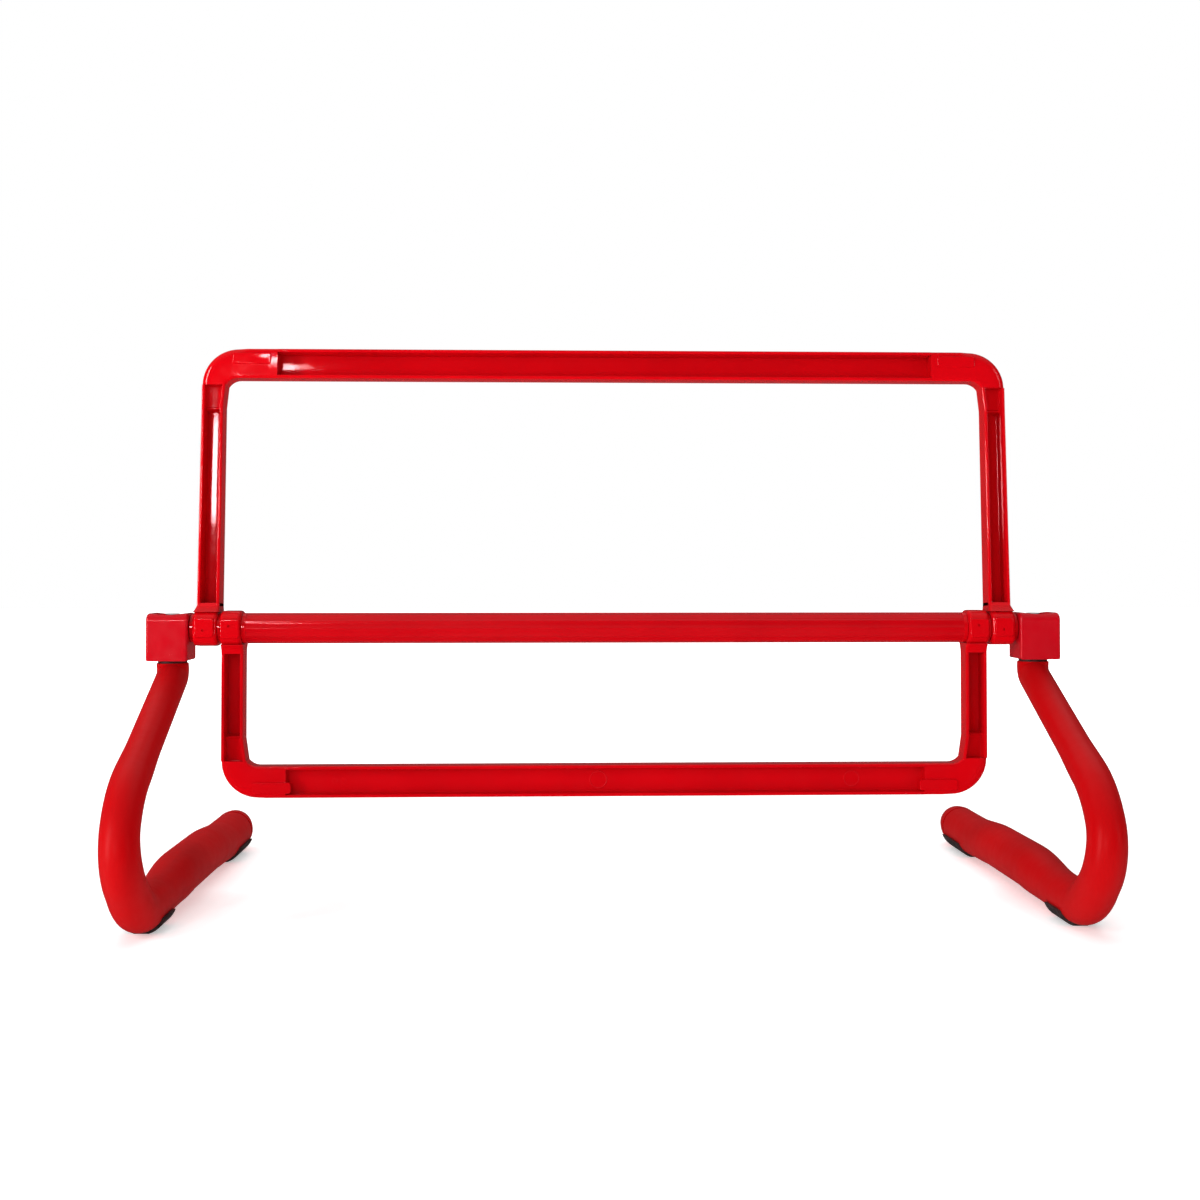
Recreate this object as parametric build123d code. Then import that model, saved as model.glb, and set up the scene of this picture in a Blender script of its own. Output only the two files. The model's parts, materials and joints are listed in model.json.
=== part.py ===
"""Adjustable agility hurdle: a fluted crossbar on two swivelling hook-shaped legs,
with a large and a small U-shaped bar that swing about the crossbar to set the height.

Frame: +X along the crossbar to the right, +Y to the back, +Z up.
The origin is on the floor, at the middle of the footprint.
"""
from build123d import *
import os
from math import cos, sin, tan, radians

# ---------------------------------------------------------------- driving dimensions
axis_height = 142.0        # crossbar centre line above the floor
bar_radius = 8.4           # over the ridges of the fluted crossbar
bar_half_length = 198.0
bar_bore_radius = 6.5
flute_count = 12
flute_depth = 0.45
flute_radius = 11.4        # nearly flat, so the ridges between them are narrow

journal_radius = 5.0       # round part of the axle that both U bars turn on
running_gap = 0.05         # radial gap of every turning fit
face_gap = 0.15            # side gap between a hub and the ring beside it
flange_thickness = 2.0
shank_length = 28.0
tenon_side = 8.0           # square end of the axle, held in the bracket
tenon_length = 17.0
ring_groove_width = 1.3
ring_section_radius = 0.55
hub_collar_radius = 8.2
bracket_collar_radius = 7.7
plug_pin_radius = 1.5
plug_pin_sink = 1.0        # how far the pin ends below the ridges

frame_depth = 12.0         # both U bars, front to back
frame_arm_width = 12.4
frame_wall = 1.8
frame_floor = 2.0          # back wall of the open channel
frame_corner_outer = 20.0
frame_corner_inner = 8.0
frame_edge_round = 1.0
channel_half_length = 181.0
rib_from_bar_edge = 34.0
rib_thickness = 1.8
rib_below_face = 1.2
channel_above_hub = 3.0
pad_raise = 0.7            # raised pad on each closed corner
pad_margin = 3.0
hub_side = 19.4
hub_corner = 6.0
hub_edge_round = 1.6
neck_inset = 0.5           # the neck between hub and arm is this much slimmer all round

large_half_width = 224.4
large_reach = 154.8        # hinge axis to the outer edge of the bar
large_bar_height = 16.4
large_lean = 3.5           # degrees that the large bar stands leaning back
large_hub = (213.2, 226.4)
small_half_width = 211.2
small_reach = 92.5
small_bar_height = 17.2
small_hub = (200.2, 211.6)

bracket_inner = 228.5
bracket_outer = 251.0
bracket_half_depth = 11.0
bracket_above_axis = 8.4
bracket_below_axis = 17.5
bracket_top_round = 4.4
bracket_upright_round = 1.4
bracket_foot_bevel = 0.8
bracket_saddle_depth = 0.8
bracket_saddle_radius = 51.0
bracket_dish_depth = 2.4
bracket_dish_margin = 2.6
bracket_dish_corner = 3.0
bracket_panel_depth = 0.8
bracket_panel_margin = 3.2
bracket_panel_corner = 2.0

pivot_inset = 1.0          # the leg's pivot is this much inwards of the bracket's middle
pivot_x = (bracket_inner + bracket_outer) / 2 - pivot_inset
peg_radius = 6.0
peg_length = 11.2
leg_gap = 1.4              # bracket to the shoulder of the leg
screw_radius = 2.0
screw_head_radius = 4.0
screw_head_height = 2.0
screw_head_bevel = 0.6
screw_slot_width = 0.9
screw_slot_depth = 1.1
washer_rim = 1.8           # washer's width around the peg
washer_gap = 0.4           # washer to the bracket
socket_end_gap = 0.5       # end of the peg to the end of its socket
screw_reach_below_shoulder = 10.0

leg_lean = 5.9             # degrees that the plane of a leg leans inwards
leg_wall = 2.4
limb_slope = 23.0          # degrees below level, from the top bend to the knee
top_bend_radius = 9.2
knee_bend_radius = 70.0
knee_slope = 50.0          # slope where the hook begins
hook_radius = 22.5
hook_split = 130.0         # heading where the hook starts to thicken
hook_taper_length = 8.0
limb_radius = 8.6
bulge_radius = 9.3
sole_radius = 10.6
tail_radius = 12.3
heel_radius = 11.8
tip_radius = 10.8

pad_thickness = 1.0
pad_wrap = 0.5             # extra radius of a pad, which its flat sole cuts off
pad_height_share = 0.62    # how far up the tube a pad reaches, as a share of its radius
front_pad_length = 20.0
rear_pad_length = 33.0
swell_rise = 3.3           # how much higher the middle of the tail runs
swell_angle = 4.0
swell_fall_angle = 3.0
swell_bend_radius = 150.0
swell_length = 54.0
tip_turn = 6.0             # degrees that the end of the tail turns inwards
tip_turn_radius = 60.0
tip_taper_length = 8.0

bracket_bottom = axis_height - bracket_below_axis
bracket_top = axis_height + bracket_above_axis
shoulder_height = bracket_bottom - leg_gap
dish_floor = bracket_top - bracket_dish_depth
side_names = {-1: "left", 1: "right"}

os.makedirs("parts", exist_ok=True)


def save(node, shape):
    """Label one sub-part and write it to its own file."""
    shape.label = node
    export_step(shape, f"parts/{node}.step")


def block(x_low, x_high, y_low, y_high, z_low, z_high):
    """Box given by its lowest and highest corners."""
    centre = Pos((x_low + x_high) / 2, (y_low + y_high) / 2, (z_low + z_high) / 2)
    return centre * Box(x_high - x_low, y_high - y_low, z_high - z_low)


def rod_x(x_low, x_high, radius):
    """Cylinder along X about the hinge axis, which is at y = 0 and z = 0."""
    turned = Rot(0, 90, 0) * Cylinder(radius, x_high - x_low)
    return Pos((x_low + x_high) / 2, 0, 0) * turned


def rod_z(x, y, z_low, z_high, radius):
    """Upright cylinder."""
    return Pos(x, y, (z_low + z_high) / 2) * Cylinder(radius, z_high - z_low)


# ---------------------------------------------------------------- legs
# A leg is a chain of runs. Each run starts where the last one ended:
# local Z is the direction of travel and local X the side that a bend curves to.

def straight_run(place, length, start_radius, end_radius):
    """Straight or tapering piece of tube and the place where it ends."""
    if start_radius == end_radius:
        body = Cylinder(start_radius, length)
    else:
        body = Cone(start_radius, end_radius, length)
    return place * Pos(0, 0, length / 2) * body, place * Pos(0, 0, length)


def bent_run(place, bend_radius, angle, radius):
    """Bent piece of tube; a negative angle curves the other way."""
    side = 1 if angle > 0 else -1
    hinge = Pos(side * bend_radius, 0, 0)
    axis = Axis((side * bend_radius, 0, 0), (0, side, 0))
    body = revolve(Circle(radius), axis, revolution_arc=abs(angle))
    end = place * hinge * Rot(0, angle, 0) * Pos(-side * bend_radius, 0, 0)
    return place * body, end


def limb_length():
    """Length of the straight limb that brings the hook down onto its front pad."""
    drop = (shoulder_height - pad_thickness - sole_radius) / cos(radians(leg_lean))
    bends = top_bend_radius * cos(radians(limb_slope))
    bends += knee_bend_radius * (cos(radians(limb_slope)) - cos(radians(knee_slope)))
    bends += hook_radius * (cos(radians(knee_slope)) - cos(radians(hook_split)))
    bends += hook_taper_length * sin(radians(hook_split))
    bends += hook_radius * (cos(radians(hook_split)) + 1)
    return (drop - bends) / sin(radians(limb_slope))


def swell_straight(rise, angle):
    """Straight part of a gentle step of the tail that changes its height by rise."""
    bends = 2 * swell_bend_radius * (1 - cos(radians(angle)))
    return (rise - bends) / sin(radians(angle))


def leg_runs(inset):
    """Solids of one leg from its shoulder to its tip, each thinner by inset.

    The leg is drawn for the left side, with its pivot at x = 0 and y = 0.
    """
    fall = swell_rise + sole_radius - heel_radius
    heel_roll = 90 + leg_lean
    start = Pos(0, 0, shoulder_height) * Rot(0, -leg_lean, 0)
    place = start * Location(Plane(origin=(0, 0, 0), x_dir=(0, -1, 0), z_dir=(0, 0, -1)))
    steps = [
        ("bend", top_bend_radius, 90 - limb_slope, limb_radius),
        ("line", limb_length() * 0.7, limb_radius, limb_radius),
        ("line", limb_length() * 0.3, limb_radius, bulge_radius),
        ("bend", knee_bend_radius, limb_slope - knee_slope, bulge_radius),
        ("bend", hook_radius, knee_slope - hook_split, bulge_radius),
        ("line", hook_taper_length, bulge_radius, sole_radius),
        ("bend", hook_radius, hook_split - 180, sole_radius),
        ("line", front_pad_length, sole_radius, sole_radius),
        ("bend", swell_bend_radius, -swell_angle, sole_radius),
        ("line", swell_straight(swell_rise, swell_angle), sole_radius, tail_radius),
        ("bend", swell_bend_radius, swell_angle, tail_radius),
        ("line", swell_length, tail_radius, tail_radius),
        ("bend", swell_bend_radius, swell_fall_angle, tail_radius),
        ("line", swell_straight(fall, swell_fall_angle), tail_radius, heel_radius),
        ("bend", swell_bend_radius, -swell_fall_angle, heel_radius),
        ("line", rear_pad_length, heel_radius, heel_radius),
        ("roll", heel_roll),
        ("bend", tip_turn_radius, tip_turn, heel_radius),
        ("line", tip_taper_length, heel_radius, tip_radius),
    ]
    bodies = []
    places = []
    for step in steps:
        places.append(place)
        if step[0] == "roll":
            place = place * Rot(0, 0, step[1])
            continue
        if step[0] == "bend":
            body, place = bent_run(place, step[1], step[2], step[3] - inset)
        else:
            body, place = straight_run(place, step[1], step[2] - inset, step[3] - inset)
        bodies.append(body)
    places.append(place)
    bodies.append(place * Sphere(tip_radius - inset))
    return bodies, places


leg_tip = leg_runs(0.0)[1][-1].position
tail_reach = leg_tip.Y + tip_radius
hook_front = leg_runs(0.0)[1][4].position.Y
front_reach = -hook_front + hook_radius * (1 - cos(radians(90 - knee_slope))) + bulge_radius
axis_y = (front_reach - tail_reach) / 2
print(f"legs reach {front_reach:.1f} mm forward and {tail_reach:.1f} mm back of the crossbar")


def fused(bodies):
    """One solid from a chain of bodies that share end faces."""
    whole = bodies[0]
    for body in bodies[1:]:
        whole = whole + body
    return whole


def foot_pad(places, step, length, tube):
    """Thin pad under a level run of the leg, flat where it meets the floor."""
    start = places[step].position
    height = start.Z
    across = tube + pad_thickness + pad_wrap
    skin = Pos(start.X, start.Y + length / 2, height) * Rot(90, 0, 0) * Cylinder(across, length)
    skin -= Pos(start.X, start.Y + length / 2, height) * Rot(90, 0, 0) * Cylinder(tube, length + 2)
    low = block(start.X - across, start.X + across, start.Y, start.Y + length,
                0, height - tube * (1 - pad_height_share))
    return skin & low


def left_leg_pieces():
    """Leg moulding, thrust washer, pivot screw and two pads, with the pivot at x = y = 0."""
    outer_runs, places = leg_runs(0.0)
    inner_runs = leg_runs(leg_wall)[0]
    leg = fused(outer_runs)
    leg += rod_z(0, 0, shoulder_height - peg_radius, shoulder_height, peg_radius)
    leg += rod_z(0, 0, shoulder_height - 0.6, shoulder_height + 0.4, limb_radius)
    leg -= block(-30, 30, -30, 30, shoulder_height, shoulder_height + 30)
    leg -= fused(inner_runs[1:])
    leg += rod_z(0, 0, shoulder_height - 1, shoulder_height + peg_length, peg_radius)
    screw_low = shoulder_height - screw_reach_below_shoulder
    leg -= rod_z(0, 0, screw_low, shoulder_height + peg_length + 1, screw_radius)
    head_low = dish_floor + 0.1
    screw = rod_z(0, 0, screw_low, head_low + 0.5, screw_radius)
    head = rod_z(0, 0, head_low, head_low + screw_head_height, screw_head_radius)
    head = chamfer(head.edges().group_by(Axis.Z)[-1], screw_head_bevel)
    slot_top = head_low + screw_head_height
    for turn in (0, 90):
        cross = Box(screw_head_radius, screw_slot_width, 2 * screw_slot_depth)
        head -= Pos(0, 0, slot_top) * Rot(0, 0, turn) * cross
    washer = rod_z(0, 0, shoulder_height, bracket_bottom - washer_gap, peg_radius + washer_rim)
    washer -= rod_z(0, 0, shoulder_height - 1, bracket_bottom, peg_radius)
    return {
        "leg": leg,
        "pivot_screw": screw + head,
        "thrust_washer": washer,
        "front_pad": foot_pad(places, 7, front_pad_length, sole_radius),
        "rear_pad": foot_pad(places, 15, rear_pad_length, heel_radius),
    }


# ---------------------------------------------------------------- U bars
def u_bar(half_width, reach, bar_height, hub):
    """U-shaped channel moulding, drawn with its bar above the hinge axis."""
    inner_half = half_width - frame_arm_width
    inner_reach = reach - bar_height
    outline = Pos(0, reach / 2) * Rectangle(2 * half_width, reach)
    outline = fillet(outline.vertices().group_by(Axis.Y)[-1], frame_corner_outer)
    window = Pos(0, inner_reach / 2) * Rectangle(2 * inner_half, inner_reach)
    window = fillet(window.vertices().group_by(Axis.Y)[-1], frame_corner_inner)
    frame = extrude(Plane.XZ * (outline - window), frame_depth / 2, both=True)
    long_edges = frame.edges().filter_by(lambda edge: abs(abs(edge.center().Y) - frame_depth / 2) < 0.01)
    long_edges = [edge for edge in long_edges if edge.center().Z > 0.01]
    frame = fillet(long_edges, frame_edge_round)

    front = -frame_depth / 2 - 1
    back = frame_depth / 2 - frame_floor
    arm_low = hub_side / 2 + channel_above_hub
    arm_high = inner_reach - frame_corner_inner / 2
    for side in (-1, 1):
        outside = side * (half_width - frame_wall)
        inside = side * (inner_half + frame_wall)
        x_low, x_high = sorted((outside, inside))
        frame -= block(x_low, x_high, front, back, arm_low, arm_high)
        rib_z = reach - rib_from_bar_edge
        frame += block(x_low - 0.2, x_high + 0.2, -frame_depth / 2 + rib_below_face, back + 0.2,
                       rib_z - rib_thickness, rib_z)
    frame -= block(-channel_half_length, channel_half_length, front, back,
                   inner_reach + frame_wall, reach - frame_wall)
    for side in (-1, 1):
        frame += corner_pad(side, half_width, reach, bar_height)
        frame = add_hub(frame, side, hub, inner_half)
    return frame


def corner_pad(side, half_width, reach, bar_height):
    """Raised pad with bevelled ends on the closed part of the bar beside a corner."""
    far = half_width - frame_corner_outer
    near = channel_half_length + pad_margin
    x_low, x_high = sorted((side * near, side * far))
    z_low = reach - bar_height + pad_margin
    z_high = reach - pad_margin
    front = -frame_depth / 2
    pad = block(x_low, x_high, front - pad_raise, front + 1, z_low, z_high)
    return chamfer(pad.edges().group_by(Axis.Y)[0], pad_raise * 0.9)


def add_hub(frame, side, hub, inner_half):
    """Rounded square hub at the foot of an arm, bored for the journal of the axle."""
    hub_low, hub_high = sorted((side * hub[0], side * hub[1]))
    arm_foot = hub_side / 2
    frame -= block(-300 if side < 0 else 0, 0 if side < 0 else 300, -20, 20, -1, arm_foot)
    section = fillet(Rectangle(hub_side, hub_side).vertices(), hub_corner)
    boss = extrude(Plane.YZ.offset(hub_low) * section, hub_high - hub_low)
    boss = fillet(boss.edges().filter_by(lambda edge: edge.center().X > hub_high - 0.01
                                         or edge.center().X < hub_low + 0.01), hub_edge_round)
    arm_inside = side * (inner_half + neck_inset)
    arm_outside = side * (inner_half + frame_arm_width - neck_inset)
    arm_low, arm_high = sorted((arm_inside, arm_outside))
    x_low = max(arm_low, hub_low + neck_inset)
    x_high = min(arm_high, hub_high - neck_inset)
    neck_top = arm_foot + channel_above_hub
    neck = block(x_low, x_high, -frame_depth / 2 + neck_inset, frame_depth / 2, 0, neck_top)
    frame += boss + neck
    return frame - rod_x(hub_low - 1, hub_high + 1, journal_radius + running_gap)


def placed(shape):
    """Move a shape drawn about the hinge axis to its place on the hurdle."""
    return Pos(0, axis_y, axis_height) * shape


def sided(shape, side):
    """Left-hand shape as it is, or mirrored to the right-hand side."""
    return shape if side < 0 else shape.mirror(Plane.YZ)


# ---------------------------------------------------------------- crossbar and axles
def crossbar():
    """Ridged tube between the two axles."""
    section = Circle(bar_radius)
    distance = bar_radius + flute_radius - flute_depth
    for index in range(flute_count):
        angle = (index + 0.5) * 360 / flute_count
        section -= Rot(0, 0, angle) * Pos(distance, 0) * Circle(flute_radius)
    section -= Circle(bar_bore_radius)
    tube = extrude(Plane.YZ.offset(-bar_half_length) * section, 2 * bar_half_length)
    for side in (-1, 1):
        tube -= plug_pin_hole(side)
    return tube


def plug_pin_hole(side):
    """Blind hole from the back through the tube into the axle's shank."""
    x = side * (bar_half_length - shank_length / 2)
    bore = Cylinder(plug_pin_radius, bar_radius + 2)
    return Pos(x, bar_radius / 2, 0) * Rot(90, 0, 0) * bore


def left_axle():
    """Axle plug: shank in the tube, flange, journal with two ring grooves, square tenon."""
    end = -bar_half_length
    axle = rod_x(end - flange_thickness, end, bar_radius)
    axle += rod_x(end, end + shank_length, bar_bore_radius)
    axle += rod_x(-bracket_inner, end - flange_thickness, journal_radius)
    tenon_end = -bracket_inner - tenon_length
    half = tenon_side / 2
    axle += block(tenon_end, -bracket_inner, -half, half, -half, half)
    for hub in (small_hub, large_hub):
        middle = -(hub[0] + hub[1]) / 2
        groove = rod_x(middle - ring_groove_width / 2, middle + ring_groove_width / 2,
                       journal_radius + 1)
        groove -= rod_x(middle - 2, middle + 2, journal_radius - 2 * ring_section_radius)
        axle -= groove
    axle -= rod_z(-pivot_x, 0, -tenon_side, tenon_side, screw_radius + running_gap)
    return axle - plug_pin_hole(-1)


def left_plug_pin():
    """Blind pin that locks the axle in the tube, a little below the ridges."""
    x = -(bar_half_length - shank_length / 2)
    pin = Cylinder(plug_pin_radius, bar_radius)
    return Pos(x, bar_radius / 2 - plug_pin_sink, 0) * Rot(90, 0, 0) * pin


def left_friction_ring(hub):
    """Rubber ring in the journal's groove that makes the U bar stay where it is put."""
    middle = -(hub[0] + hub[1]) / 2
    ring = Torus(journal_radius - ring_section_radius, ring_section_radius)
    return Pos(middle, 0, 0) * Rot(0, 90, 0) * ring


def left_collar(inner, outer, radius):
    """Spacer ring on the journal, between x = -outer and x = -inner."""
    ring = rod_x(-outer + face_gap, -inner - face_gap, radius)
    return ring - rod_x(-outer - 1, -inner + 1, journal_radius)


def left_bracket():
    """End block: square socket for the axle from inside, round socket for the leg from below."""
    body = block(-bracket_outer, -bracket_inner, -bracket_half_depth, bracket_half_depth,
                 -bracket_below_axis, bracket_above_axis)
    top_edges = body.edges().group_by(Axis.Z)[-1].filter_by(Axis.X)
    body = fillet(top_edges, bracket_top_round)
    upright = body.edges().filter_by(Axis.Z)
    body = fillet(upright, bracket_upright_round)
    body = chamfer(body.edges().group_by(Axis.Z)[0], bracket_foot_bevel)
    saddle = Rot(90, 0, 0) * Cylinder(bracket_saddle_radius, 4 * bracket_half_depth)
    saddle_height = bracket_above_axis - bracket_saddle_depth + bracket_saddle_radius
    body -= Pos(-(bracket_inner + bracket_outer) / 2, 0, saddle_height) * saddle
    margin = bracket_dish_margin
    dish = block(-bracket_outer + margin, -bracket_inner - margin,
                 -bracket_half_depth + 2 * margin, bracket_half_depth - 2 * margin,
                 bracket_above_axis - bracket_dish_depth, bracket_above_axis + 2)
    body -= fillet(dish.edges().filter_by(Axis.Z), bracket_dish_corner)
    edge = bracket_panel_margin
    panel = block(-bracket_outer - 1, -bracket_outer + bracket_panel_depth,
                  -bracket_half_depth + edge, bracket_half_depth - edge,
                  -bracket_below_axis + edge, bracket_above_axis - bracket_top_round)
    body -= fillet(panel.edges().filter_by(Axis.X), bracket_panel_corner)
    half = tenon_side / 2
    body -= block(-bracket_inner - tenon_length, -bracket_inner + 1, -half, half, -half, half)
    socket_top = -bracket_below_axis - leg_gap + peg_length + socket_end_gap
    body -= rod_z(-pivot_x, 0, -bracket_below_axis - 1, socket_top, peg_radius + running_gap)
    body -= rod_z(-pivot_x, 0, 0, bracket_above_axis + 1, screw_radius + running_gap)
    return body - rod_z(-pivot_x, 0, -bracket_below_axis, 0, screw_radius + running_gap)


# ---------------------------------------------------------------- write every sub-part
save("crossbar", placed(crossbar()))
large = u_bar(large_half_width, large_reach, large_bar_height, large_hub)
save("large_bar", placed(Rot(-large_lean, 0, 0) * large))
small = u_bar(small_half_width, small_reach, small_bar_height, small_hub)
save("small_bar", placed(small.mirror(Plane.XY)))

root_pieces = {
    "axle": left_axle(),
    "plug_pin": left_plug_pin(),
    "bracket": left_bracket(),
    "small_bar_friction_ring": left_friction_ring(small_hub),
    "large_bar_friction_ring": left_friction_ring(large_hub),
    "hub_collar": left_collar(small_hub[1], large_hub[0], hub_collar_radius),
    "bracket_collar": left_collar(large_hub[1], bracket_inner - face_gap, bracket_collar_radius),
}
leg_pieces = left_leg_pieces()
for side, side_name in side_names.items():
    for piece_name, piece in root_pieces.items():
        node = f"{side_name}_{piece_name}"
        save(node, placed(sided(piece, side)))
    for piece_name, piece in leg_pieces.items():
        node = f"{side_name}_leg" if piece_name == "leg" else f"{side_name}_leg_{piece_name}"
        save(node, Pos(side * pivot_x, axis_y, 0) * sided(piece, side))
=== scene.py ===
# %% [markdown]
# # An adjustable agility hurdle, made as a lesson
# The real object is a low training hurdle in red plastic. A ridged crossbar joins two hook-shaped
# legs, and a large and a small U-shaped bar swing about that crossbar to set the jump height.
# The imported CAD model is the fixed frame: it says where everything is and what moves with what.
# This file only builds the looks around it, one piece at a time.

# %% Load the fixed frame
import json
import math

import bmesh
import bpy
from mathutils import Matrix, Quaternion, Vector


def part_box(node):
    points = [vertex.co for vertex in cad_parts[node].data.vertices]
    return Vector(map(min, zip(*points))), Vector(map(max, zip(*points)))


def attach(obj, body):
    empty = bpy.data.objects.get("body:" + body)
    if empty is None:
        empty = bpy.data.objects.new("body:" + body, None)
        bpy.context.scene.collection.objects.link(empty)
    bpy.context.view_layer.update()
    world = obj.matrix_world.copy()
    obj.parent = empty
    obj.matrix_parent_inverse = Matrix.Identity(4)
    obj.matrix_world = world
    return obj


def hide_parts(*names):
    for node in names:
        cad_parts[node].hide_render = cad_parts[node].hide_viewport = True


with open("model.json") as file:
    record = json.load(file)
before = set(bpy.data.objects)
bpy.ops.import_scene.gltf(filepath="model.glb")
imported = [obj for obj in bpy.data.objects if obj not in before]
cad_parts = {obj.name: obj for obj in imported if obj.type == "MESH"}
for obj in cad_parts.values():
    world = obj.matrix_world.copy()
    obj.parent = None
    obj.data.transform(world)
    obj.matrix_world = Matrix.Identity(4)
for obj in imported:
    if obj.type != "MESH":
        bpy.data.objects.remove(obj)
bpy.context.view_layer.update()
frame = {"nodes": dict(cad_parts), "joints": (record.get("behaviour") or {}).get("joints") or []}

MM = 0.001

# %% [markdown]
# ## Read the sizes that the frame already knows
# Every place is worked out from the boxes of CAD nodes, so the looks can never drift away from the
# part that moves. The crossbar's box gives the hinge axis, and the two U bars' boxes give how far
# they reach. Only sizes that no box can show, such as a wall's thickness, are named here.

# %% Main sizes
tube_low, tube_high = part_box("crossbar")
axis = (tube_low + tube_high) / 2
tube_half_length = tube_high.x
tube_radius = (tube_high.z - tube_low.z) / 2

large_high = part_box("large_bar")[1]
small_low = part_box("small_bar")[0]
hub_overhang = 2.0 * MM
large_half_width = large_high.x - hub_overhang
small_half_width = 211.2 * MM
large_lean = math.radians(3.5)
large_reach = 154.8 * MM
small_reach = axis.z - small_low.z
print("hinge axis at", [round(v / MM, 2) for v in axis], "mm")
reaches = [round(v / MM, 1) for v in (large_reach, small_reach)]
print("large and small bar reach", reaches, "mm")

# %% [markdown]
# ## The stage: floor, light and camera
# A pale floor and soft lamps stand in for a small studio. The floor's own glow grows with distance,
# so it meets the white air without a horizon, and the air itself is nearly dark to reflections
# except from above, because red gloss turns pink as soon as it mirrors a white room.

# %% Floor and world
scene = bpy.context.scene
scene.view_settings.view_transform = "Standard"


def plain_material(name, colour, roughness):
    """Material with one colour and roughness, for the stage only."""
    material = bpy.data.materials.new(name)
    material.use_nodes = True
    shader = material.node_tree.nodes["Principled BSDF"]
    shader.inputs["Base Color"].default_value = (*colour, 1)
    shader.inputs["Roughness"].default_value = roughness
    return material


floor_half = 6.0
floor_white = (0.92, 0.92, 0.92)
glow_start, glow_end = 0.3, 1.2
glow_near, glow_far = 0.42, 1.0

floor_mesh = bpy.data.meshes.new("studio_floor")
floor_corners = [(-floor_half, -floor_half, 0), (floor_half, -floor_half, 0),
                 (floor_half, floor_half, 0), (-floor_half, floor_half, 0)]
floor_mesh.from_pydata(floor_corners, [], [(0, 1, 2, 3)])
floor = bpy.data.objects.new("studio_floor", floor_mesh)
scene.collection.objects.link(floor)
floor_paper = plain_material("floor_paper", floor_white, 0.7)
floor_tree = floor_paper.node_tree
paper = floor_tree.nodes["Principled BSDF"]
paper.inputs["Emission Color"].default_value = (1, 1, 1, 1)
spread = floor_tree.nodes.new("ShaderNodeTexCoord")
away = floor_tree.nodes.new("ShaderNodeVectorMath")
away.operation = "LENGTH"
glow = floor_tree.nodes.new("ShaderNodeMapRange")
glow_range = {"From Min": glow_start, "From Max": glow_end, "To Min": glow_near, "To Max": glow_far}
for label, value in glow_range.items():
    glow.inputs[label].default_value = value
floor_tree.links.new(spread.outputs["Object"], away.inputs[0])
floor_tree.links.new(away.outputs["Value"], glow.inputs["Value"])
floor_tree.links.new(glow.outputs["Result"], paper.inputs["Emission Strength"])
floor_mesh.materials.append(floor_paper)
floor.visible_glossy = False

world = bpy.data.worlds.new("studio_air")
scene.world = world
world.use_nodes = True
air = world.node_tree
sky = air.nodes["Background"]
sky.inputs["Color"].default_value = (1.0, 1.0, 1.0, 1)


def air_node(kind, **values):
    """World node with its inputs set by name."""
    node = air.nodes.new(kind)
    for label, value in values.items():
        node.inputs[label.replace("_", " ")].default_value = value
    return node


direction = air_node("ShaderNodeTexCoord")
compass = air_node("ShaderNodeSeparateXYZ")
air.links.new(direction.outputs["Generated"], compass.inputs["Vector"])
behind = air_node("ShaderNodeMapRange", From_Min=-0.3, From_Max=0.4, To_Min=0.02, To_Max=0.07)
above = air_node("ShaderNodeMapRange", From_Min=0.45, From_Max=0.9, To_Min=0.0, To_Max=0.55)
air.links.new(compass.outputs["Y"], behind.inputs["Value"])
air.links.new(compass.outputs["Z"], above.inputs["Value"])
brighter = air_node("ShaderNodeMath")
brighter.operation = "MAXIMUM"
air.links.new(behind.outputs["Result"], brighter.inputs[0])
air.links.new(above.outputs["Result"], brighter.inputs[1])
seen = air_node("ShaderNodeLightPath")
backdrop = air_node("ShaderNodeMath")
backdrop.operation = "MAXIMUM"
air.links.new(seen.outputs["Is Camera Ray"], backdrop.inputs[0])
air.links.new(brighter.outputs["Value"], backdrop.inputs[1])
air.links.new(backdrop.outputs["Value"], sky.inputs["Strength"])
print("floor is", 2 * floor_half, "m across")


# %% [markdown]
# ## The lamps
# Two large lamps only fill and leave no glint. The small window and spark at the left are aimed by
# the law of mirrors, so that they show on the floor of the large bar's left arm and at the end of
# its channel. The tall walls at both sides draw thin lines down rounded edges.


# %% Lamps
def softbox(name, place, target, width, height, watts, glints=True, spin=0.0):
    """Rectangular lamp at a place, turned to face a target; without glints it only fills."""
    data = bpy.data.lights.new(name, "AREA")
    data.shape = "RECTANGLE"
    data.size, data.size_y = width, height
    data.energy = watts
    lamp = bpy.data.objects.new(name, data)
    scene.collection.objects.link(lamp)
    lamp.location = place
    lamp.rotation_mode = "QUATERNION"
    aim = (Vector(target) - Vector(place)).to_track_quat("-Z", "Y")
    lamp.rotation_quaternion = aim @ Quaternion((0, 0, 1), math.radians(spin))
    lamp.visible_glossy = glints
    return lamp


hurdle_middle = (0, 0, 0.15)
left_arm = (-0.2, 0, 0.25)
softbox("lamp_front_fill", (-0.5, -2.4, 1.3), (0, 0, 0.1), 2.6, 2.2, 17, glints=False)
softbox("lamp_floor_fill", (0.0, 2.2, 3.0), (0, 1.2, 0), 5.0, 3.0, 105, glints=False)
softbox("lamp_left_window", (-0.57, -1.60, 0.525), left_arm, 0.10, 0.17, 3.0, spin=12)
softbox("lamp_left_spark", (-0.460, -1.60, 0.716), left_arm, 0.020, 0.045, 0.3, spin=35)
softbox("lamp_left_wall", (-1.3, -0.9, 0.52), hurdle_middle, 0.2, 1.0, 16)
softbox("lamp_right_wall", (1.3, -0.9, 0.6), hurdle_middle, 0.12, 0.9, 2)

# %% [markdown]
# ## The camera
# The camera stands low and close in front, a little to the left of the middle, so the hooks of the
# legs look larger than the crossbar. It looks almost level, and the lens is shifted down to frame
# the hurdle, which keeps upright lines nearly parallel.

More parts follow.
